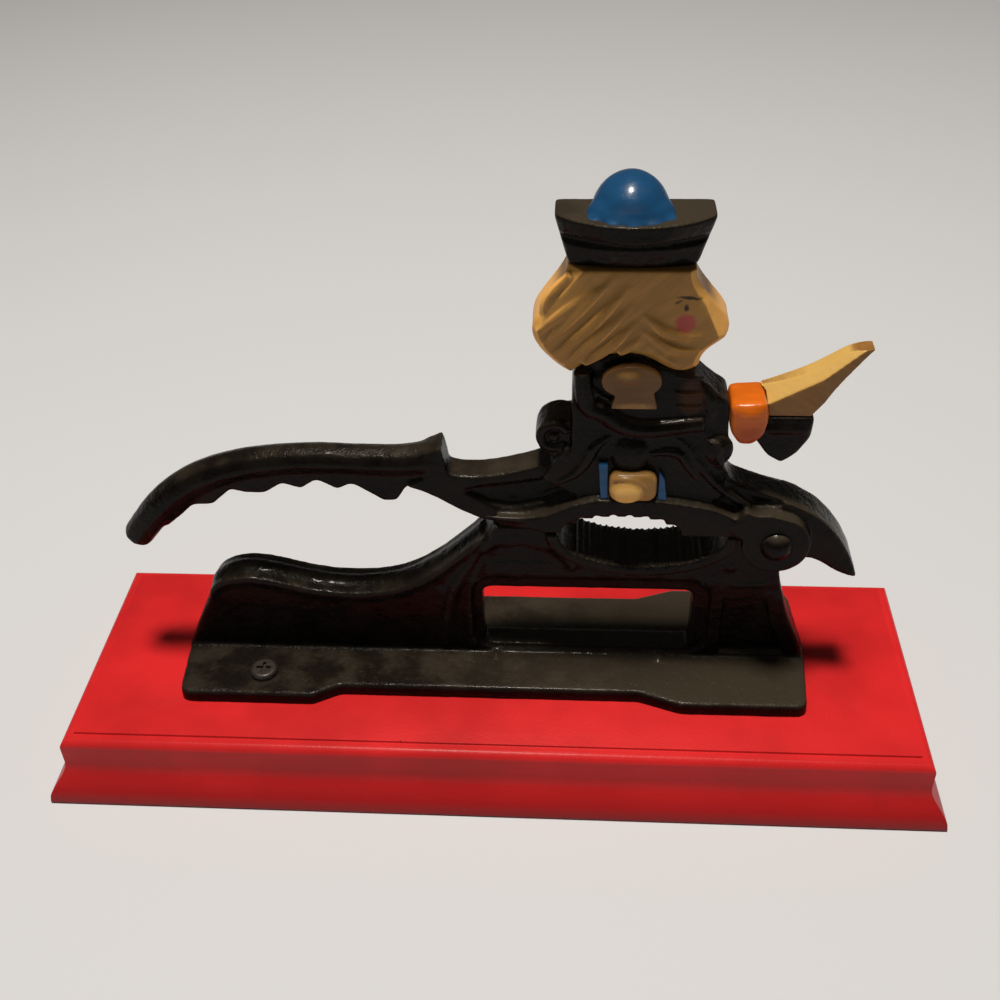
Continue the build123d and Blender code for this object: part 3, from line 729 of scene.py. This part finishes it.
class NUTCRACKER_OT_lower_casting(bpy.types.Operator):
    """Casts the flanged frame with its window, braces and lower jaw"""

    bl_idname = "nutcracker.lower_casting"
    bl_label = "Lower casting"

    def execute(self, context):
        sizes = context.scene.nutcracker_sizes
        spacing = sizes.casting_mesh
        casting = cad_copy("enamelled_frame", "lower_casting")
        back_face = 2 * CAST_Y - WEB_FACE
        brace = [(-4, 78), (-8, 70), (-13, 61), (-15.4, 52), (-17, 43), (-18, 33)]
        second_brace = [(-2.5, 73), (-6.4, 65), (-8.2, 57), (-8.6, 48), (-8.8, 38), (-9, 32)]
        arch = [(-3, 77), (1, 82), (9.8, 84), (18, 82), (24, 76.6), (27.6, 70.4)]
        bar = [(80.5, 64), (91.5, 64)]
        parts = both_faces(brace, WEB_FACE + 0.7, 2.6, tip=0.7)
        parts += both_faces(second_brace, WEB_FACE + 0.2, 1.3, tip=0.7)
        parts += both_faces(arch, WEB_FACE + 0.2, 2.3, tip=0.8)
        parts += both_faces(bar, WEB_FACE, 0.9, tip=0.8)
        parts += [ball(57.5, -3.4, 30.6, 1.8, 2.2, 1.2), ball(0.5, -3.0, 30.4, 0.8, 2.6, 0.9)]
        parts += [ball(79.2, y, 71.5, 1.5, 1.0, 1.5) for y in (WEB_FACE, back_face)]
        fuse(casting, parts, spacing)
        field = rounded_box(-7.4, 73.8, 31.6, 65.0, 6.0)
        under_arch = [(0.5, 74), (2, 78.6), (9.8, 80.6), (17, 78.6), (21.5, 74.4), (21.5, 72), (0.5, 72)]
        cutters = []
        for outline, depth in ((field, 1.3), (under_arch, 0.4)):
            cutters.append(plate(outline, CLEAR_FRONT, WEB_FACE + depth))
            cutters.append(plate(outline, back_face - depth, CLEAR_BACK))
        carve(casting, cutters)
        fuse(casting, [], spacing)
        soften(casting, 8)
        soften(casting, 10, zone=(-110, -6, 48, 90))
        ribs = jaw_ribs(28.0, 69.0, lower_hollow, 1, sizes.rib_pitch / MM, 0.8, 0.2)
        fuse(casting, ribs, spacing)
        soften(casting, 2)
        roughen(casting, sizes.sand_depth, sizes.sand_grain)
        hand_over(casting, "base", ["lower_casting"], black_enamel())
        return {"FINISHED"}


def coat_relief():
    """Raised shapes on the front of the figure's coat."""
    face = COAT_FACE
    near_sleeve = [
        (29, 148), (29.5, 141), (31, 135.5), (36, 134), (40, 130), (47, 127.8), (56, 129), (66, 130.4),
    ]
    far_sleeve = [(64.6, 143.6), (66.6, 140.6), (68.0, 136), (68.2, 130)]
    left_thigh = [(38, 125), (33.6, 122.6), (31, 116), (28, 111), (22, 107)]
    right_thigh = [(50.5, 118.6), (55, 120.2), (60, 119), (62.4, 114), (65.6, 109)]
    skirt = [(57.5, 125), (61.8, 122.6), (64.8, 116), (69.4, 109.8), (75, 103.6), (83, 98.4)]
    angles = [math.radians(20 + 30 * step) for step in range(11)]
    coil = [(20.6 + 4.4 * math.cos(angle), 123.3 + 4.4 * math.sin(angle)) for angle in angles]
    return [
        strand(on_plane(near_sleeve, face + 0.8), 3.6, tip=0.8),
        strand(on_plane(far_sleeve, face + 1.2), 3.0, tip=0.35),
        strand(on_plane(left_thigh, face + 0.2), 1.8),
        strand(on_plane(right_thigh, face + 0.2), 1.7),
        strand(on_plane(skirt, face + 0.4), 1.7),
        strand(on_plane(coil, -1.0), 1.5, tip=0.8),
        ball(20.6, -0.6, 123.3, 1.8, 1.6, 1.8),
        ball(44.3, face + 1.6, 118.2, 6.6, 4.0, 8.0),
        ball(71.0, -3.4, 120.8, 4.6, 2.2, 5.6),
        strand(on_plane([(67.5, 124.8), (72, 123.8), (70.4, 118.6), (73.0, 115.6)], -5.2), 1.2),
        strand(on_plane([(57, 147), (61, 145.4), (64.8, 147)], face), 1.3),
        strand(on_plane([(56.5, 141.5), (60, 140), (65, 141.4)], face), 1.3),
        strand(on_plane([(57, 136.6), (61, 135.4), (65, 136.4)], face), 1.1),
        strand(on_plane([(31.5, 143.5), (34.5, 139.5), (37.5, 138.6)], face), 1.4),
    ]


class NUTCRACKER_OT_lever(bpy.types.Operator):
    """Casts the lever, its grip, upper jaw and horn, in one skin with the figure's coat"""

    bl_idname = "nutcracker.lever"
    bl_label = "Lever and coat"

    def execute(self, context):
        sizes = context.scene.nutcracker_sizes
        spacing = sizes.lever_mesh
        lever = cad_copy("enamelled_lever", "lever_casting")
        coat = cad_copy("coat", "figure_coat")
        jaw_line = [(-2.3, 94.4), (7.6, 92.6), (18.4, 94.6), (27.3, 99.9), (35.4, 102.4)]
        collar = [(26, 140), (26.4, 147.4), (33, 152.0), (41, 153.8), (47.6, 152.6), (48, 144)]
        parts = [coat, plate(collar, COAT_FACE + 1.2, 9.0)]
        parts += both_faces(jaw_line, -4.9, 1.2, tip=0.6)
        parts += [ball(88, -6.9, 95.4, 1.3, 0.8, 1.3), ball(88, 14.9, 95.4, 1.3, 0.8, 1.3)]
        fuse(lever, parts, spacing)
        square_grip = [(-140, 60), (-100, 60), (-20, 107), (-22, 130), (-140, 130)]
        carve(lever, [plate(square_grip, CLEAR_FRONT, CLEAR_BACK)])
        grip = [
            (-121.8, 4, 76.4), (-114, 4, 87.2), (-101, 4, 99.6), (-83, 4, 107.6),
            (-60, 4, 110.8), (-42, 4, 110.0), (-26, 4, 109.8), (-17, 4, 111.8),
        ]
        bar = strand(grip, 5.3, flat=1.1, swell=(1.0, 1.1, 1.06, 0.98, 0.92, 0.92, 0.96, 1.06))
        fingers = [
            (-110, 82.2), (-99, 92), (-92, 92.6), (-85.5, 98.8), (-80, 97.4), (-74, 97.6),
            (-68, 101.6), (-62, 99.4), (-56.5, 103.4), (-50, 99.4), (-45, 102), (-35, 95.2),
            (-30.5, 95.4), (-26.5, 102.2), (-16, 106), (-16, 110), (-60, 110.5), (-84, 106.5), (-106, 93),
        ]
        fuse(lever, [bar, plate(fingers, CAST_Y - 3.4, CAST_Y + 3.4)], spacing)
        shoulder = [(70, 114), (92, 106), (94.4, 101), (93.4, 98.2), (84, 97.6), (79, 101)]
        carve(lever, [plate(shoulder, CLEAR_FRONT, -1.5), plate(shoulder, 9.5, CLEAR_BACK)])
        fuse(lever, [], spacing)
        soften(lever, 9)
        soften(lever, 14, zone=(-130, 16, 60, 130))
        ribs = jaw_ribs(26.5, 58.0, upper_hollow, -1, 5.2, 0.9, 1.5)
        fuse(lever, ribs + coat_relief(), spacing)
        soften(lever, 5)
        roughen(lever, sizes.sand_depth, sizes.sand_grain)
        stained = black_enamel((61.6, 139.6, 4.4, 8.0))
        hand_over(lever, "lever", ["lever_casting", "figure_coat"], stained)
        return {"FINISHED"}


def dab(x, z, half_width, half_height, softness, **more):
    """Values of one painted dab, in metres, for the paint spot group."""
    return dict(x=x, z=z, half_width=half_width, half_height=half_height, softness=softness, **more)


class NUTCRACKER_OT_head(bpy.types.Operator):
    """Casts and paints the head with its swept-back hair"""

    bl_idname = "nutcracker.head"
    bl_label = "Head"

    def execute(self, context):
        sizes = context.scene.nutcracker_sizes
        paint = context.scene.nutcracker_colours
        head = cad_copy("painted_head", "figure_head")
        face = HEAD_FACE
        slice_off(head, (58.2, face, 182), (64.2, face, 168.5), (65.4, -0.4, 175), (80, face, 182))
        slice_off(head, (27.5, face, 179.5), (16.8, face, 165.5), (19.6, 0.4, 175), (5, face, 182))
        locks = [
            [(32, 176), (26, 171), (20, 165.6), (15.6, 161.6)],
            [(38, 180), (30, 171.6), (22, 163), (17.6, 157.4)],
            [(42, 177), (35, 168), (27, 160), (20.6, 154.6)],
            [(43, 171), (36.4, 163.6), (29, 156.4), (24, 151)],
            [(44, 165.6), (39, 159.4), (33, 154.2), (29.4, 151.2)],
            [(45.4, 160.6), (43, 157), (39.4, 154.8)],
            [(46, 168), (51, 163), (57, 160.6), (63, 161)],
            [(46, 163), (51, 158.4), (56.4, 155.8), (62.6, 155.8)],
            [(47, 159), (51, 154.8), (56, 151.6)],
        ]
        parts = [strand(on_plane(points, face + 0.6), 2.1) for points in locks]
        curl = [(25, 179.4), (20.6, 174.6), (17.6, 169.4), (19.4, 167.2), (24.6, 171.4)]
        parts.append(strand(on_plane(curl, face + 1.9), 1.9, tip=0.7))
        fuse(head, parts, sizes.figure_mesh)
        soften(head, 16)
        roughen(head, sizes.sand_depth * 0.6, sizes.sand_grain)
        brow = dab(0.0588, 0.1734, 0.0042, 0.0007, 0.5, tilt=-0.10)
        lid = dab(0.0556, 0.1722, 0.0014, 0.0006, 0.5, tilt=0.5)
        eye = dab(0.0580, 0.1703, 0.0008, 0.0014, 0.4)
        cheek = dab(0.0580, 0.1653, 0.0035, 0.0035, 0.35)
        dark = (0.012, 0.008, 0.006)
        spots = [((0.42, 0.055, 0.060), 0.85, cheek), (dark, 0.9, brow), (dark, 0.7, lid), (dark, 0.9, eye)]
        # The cream paint has a painted highlight on the faces that turn left or right.
        cream = brushed_paint("cream_paint", paint.cream, wash=0.4, spots=spots,
                              sweep=42, streaks=0.16, side_highlight=2.0)
        hand_over(head, "lever", ["figure_head"], cream)
        return {"FINISHED"}


class NUTCRACKER_OT_hat(bpy.types.Operator):
    """Casts the boat-shaped hat and the blue crown whose paint runs to the brim"""

    bl_idname = "nutcracker.hat"
    bl_label = "Hat and crown"

    def execute(self, context):
        sizes = context.scene.nutcracker_sizes
        paint = context.scene.nutcracker_colours
        hat = cad_copy("enamelled_hat", "figure_hat")
        ridge = [
            (24.5, -0.4, 194.0), (33, -5.4, 193.2), (43, -7.4, 192.8), (53, -5.6, 193.2), (61, -0.6, 194.0),
        ]
        left_roll = [(22.4, 0.4, 195.2), (22.4, 4, 195.4), (22.4, 9, 195.2)]
        fuse(hat, [strand(ridge, 3.0, tip=0.6), strand(left_roll, 2.0, tip=0.8)], sizes.figure_mesh)
        soften(hat, 70)
        groove = [
            (20.5, -1.2, 190.4), (32, -6.2, 189.8), (43, -8.0, 189.5), (54, -6.2, 189.8), (65, -1.2, 190.4),
        ]
        carve(hat, [strand(groove, 1.7, tip=0.9)])
        fuse(hat, [], sizes.figure_mesh)
        soften(hat, 14)
        roughen(hat, sizes.sand_depth * 0.7, sizes.sand_grain)
        hand_over(hat, "lever", ["figure_hat"], black_enamel())

        crown = cad_copy("painted_crown", "figure_hat_crown")
        drips = [(32.4, -3.6, 3.6), (37.4, -6.2, 3.6), (42, -7.0, 3.8), (46.6, -6.0, 3.6), (51, -3.4, 3.4)]
        edit(crown)
        bpy.ops.transform.resize(value=(0.80, 0.90, 1.0), center_override=at(41.5, 4.0, 196.0))
        leave_edit()
        parts = [ball(x, y, 196.7, reach, 2.6, 0.8) for x, y, reach in drips]
        parts += [ball(41.5, 1.0, 196.6, 12.8, 8.8, 2.0), ball(41.5, 1.0, 197.0, 11.9, 8.8, 5.4)]
        fuse(crown, parts, sizes.figure_mesh)
        soften(crown, 50)
        roughen(crown, sizes.sand_depth * 0.7, sizes.sand_grain * 1.4)
        blue = brushed_paint("blue_paint", paint.blue, wash=0.3, gloss=0.27, coat=0.35)
        hand_over(crown, "lever", ["figure_hat_crown"], blue)
        return {"FINISHED"}


class NUTCRACKER_OT_sword_arm(bpy.types.Operator):
    """Casts the orange cuff, the black mitten and the three-sided golden blade"""

    bl_idname = "nutcracker.sword_arm"
    bl_label = "Cuff, mitten and blade"

    def execute(self, context):
        sizes = context.scene.nutcracker_sizes
        paint = context.scene.nutcracker_colours
        cuff = cad_copy("painted_cuff", "figure_cuff")
        parts = [ball(79.2, -2.8, 133.6, 5.4, 3.2, 4.4), ball(79.8, -2.4, 127.4, 4.6, 3.0, 4.6)]
        fuse(cuff, parts, sizes.figure_mesh)
        soften(cuff, 110)
        roughen(cuff, sizes.sand_depth, sizes.sand_grain)
        # Painted shade: a darker orange dab on the lower half of the cuff.
        shade = dab(0.0800, 0.1255, 0.0080, 0.0075, 0.7)
        orange = brushed_paint("orange_paint", paint.orange, wash=0.5, gloss=0.26, coat=0.25,
                               spots=[((0.36, 0.050, 0.004), 0.8, shade)])
        hand_over(cuff, "lever", ["figure_cuff"], orange)

        blade = cad_copy("painted_blade", "figure_blade")
        front = BLADE_FACE
        slice_off(blade, (84, front, 134.8), (112, front, 150.8), (98, 4.3, 145.8), (90, front, 160))
        slice_off(blade, (98, front, 131.2), (110, front, 147.4), (105.4, 3.0, 139.6), (120, front, 130))
        slice_off(blade, (100, front, 140), (100, front, 150), (116, 3.6, 140), (116, front, 140))
        fuse(blade, [], sizes.figure_mesh)
        soften(blade, 4)
        roughen(blade, sizes.sand_depth * 0.5, sizes.sand_grain)
        # The blade's upward-sloping facets take a painted highlight.
        gold = brushed_paint("gold_paint", paint.gold, wash=0.5, gloss=0.36, coat=0.25,
                             sweep=-30, crest_highlight=(0.60, 0.37, 0.10))
        hand_over(blade, "lever", ["figure_blade"], gold)

        mitten = cad_copy("enamelled_mitten", "figure_mitten")
        knuckle = strand([(84, -0.8, 126.4), (91, -1.4, 126.8), (98, -0.8, 126.4)], 1.3, tip=0.7)
        fuse(mitten, [knuckle], sizes.figure_mesh)
        soften(mitten, 80)
        roughen(mitten, sizes.sand_depth * 0.7, sizes.sand_grain)
        hand_over(mitten, "lever", ["figure_mitten"], black_enamel())
        return {"FINISHED"}


class NUTCRACKER_OT_hand_and_lap(bpy.types.Operator):
    """Casts the hand on the chest, the block in the lap and the blue breeches"""

    bl_idname = "nutcracker.hand_and_lap"
    bl_label = "Hand, lap block and breeches"

    def execute(self, context):
        sizes = context.scene.nutcracker_sizes
        paint = context.scene.nutcracker_colours
        lobe = dab(0.0436, 0.1066, 0.0060, 0.0046, 0.4)
        tan = brushed_paint("tan_paint", paint.tan, wash=0.6, spots=[((0.86, 0.50, 0.14), 0.9, lobe)])
        # Painted highlights in the pale colour on the lower rim of the hand and on its knuckles.
        rim = dab(0.0445, 0.1380, 0.0070, 0.0016, 0.6)
        knuckle_highlight = dab(0.0425, 0.1494, 0.0040, 0.0016, 0.8)
        pale = (0.36, 0.20, 0.065)
        ochre = brushed_paint("ochre_paint", paint.ochre, wash=0.6, gloss=0.40,
                              spots=[(pale, 0.8, rim), (pale, 0.6, knuckle_highlight)])
        hand = cad_copy("painted_hand", "figure_chest_hand")
        fuse(hand, [ball(42.5, -6.4, 148.2, 4.6, 1.6, 2.2)], sizes.figure_mesh)
        soften(hand, 9)
        roughen(hand, sizes.sand_depth * 0.5, sizes.sand_grain)
        hand_over(hand, "lever", ["figure_chest_hand"], ochre)

        lap = cad_copy("painted_lap_block", "figure_lap_block")
        fold = strand(on_plane([(39, 111.4), (44, 111.9), (49.4, 109.6), (50, 106)], -7.3), 1.0)
        fuse(lap, [fold, ball(43.4, -7.1, 106.8, 5.4, 2.6, 4.2)], sizes.figure_mesh)
        soften(lap, 14)
        roughen(lap, sizes.sand_depth * 0.4, sizes.sand_grain)
        hand_over(lap, "lever", ["figure_lap_block"], tan)

        breeches = cad_copy("painted_breeches", "figure_breeches")
        fuse(breeches, [], sizes.figure_mesh)
        soften(breeches, 3)
        pale_blue = tuple(1.5 * part for part in paint.blue)
        cloth = brushed_paint("pale_blue_paint", pale_blue, wash=0.2, gloss=0.40, coat=0.2)
        hand_over(breeches, "lever", ["figure_breeches"], cloth)
        return {"FINISHED"}


class NUTCRACKER_OT_fasteners(bpy.types.Operator):
    """Finishes the wood screws, the hinge bolt and its nut"""

    bl_idname = "nutcracker.fasteners"
    bl_label = "Fasteners"

    def execute(self, context):
        steel = dark_steel()
        for node in ("mounting_screw_front", "mounting_screw_rear", "pivot_nut"):
            paint_node(node, steel)
        paint_node("pivot_bolt", black_enamel())
        return {"FINISHED"}


OPERATORS = [
    NUTCRACKER_OT_stage,
    NUTCRACKER_OT_plinth,
    NUTCRACKER_OT_lower_casting,
    NUTCRACKER_OT_lever,
    NUTCRACKER_OT_head,
    NUTCRACKER_OT_hat,
    NUTCRACKER_OT_sword_arm,
    NUTCRACKER_OT_hand_and_lap,
    NUTCRACKER_OT_fasteners,
]


class NUTCRACKER_PT_sidebar(bpy.types.Panel):
    """Lists the nutcracker's settings and the steps that make it"""

    bl_idname = "NUTCRACKER_PT_sidebar"
    bl_label = "Nutcracker"
    bl_space_type = "VIEW_3D"
    bl_region_type = "UI"
    bl_category = "Nutcracker"

    def draw(self, context):
        for name, kind in SETTINGS.items():
            box = self.layout.box()
            for key in kind.__annotations__:
                box.prop(getattr(context.scene, name), key)
        for operator in OPERATORS:
            self.layout.operator(operator.bl_idname)


def register():
    for kind in [*SETTINGS.values(), *OPERATORS, NUTCRACKER_PT_sidebar]:
        bpy.utils.register_class(kind)
    for name, kind in SETTINGS.items():
        setattr(bpy.types.Scene, name, bpy.props.PointerProperty(type=kind))


def unregister():
    for name in SETTINGS:
        delattr(bpy.types.Scene, name)
    for kind in reversed([*SETTINGS.values(), *OPERATORS, NUTCRACKER_PT_sidebar]):
        bpy.utils.unregister_class(kind)


def main():
    register()
    for operator in OPERATORS:
        group, name = operator.bl_idname.split(".")
        getattr(getattr(bpy.ops, group), name)()


if __name__ == "__main__":
    main()
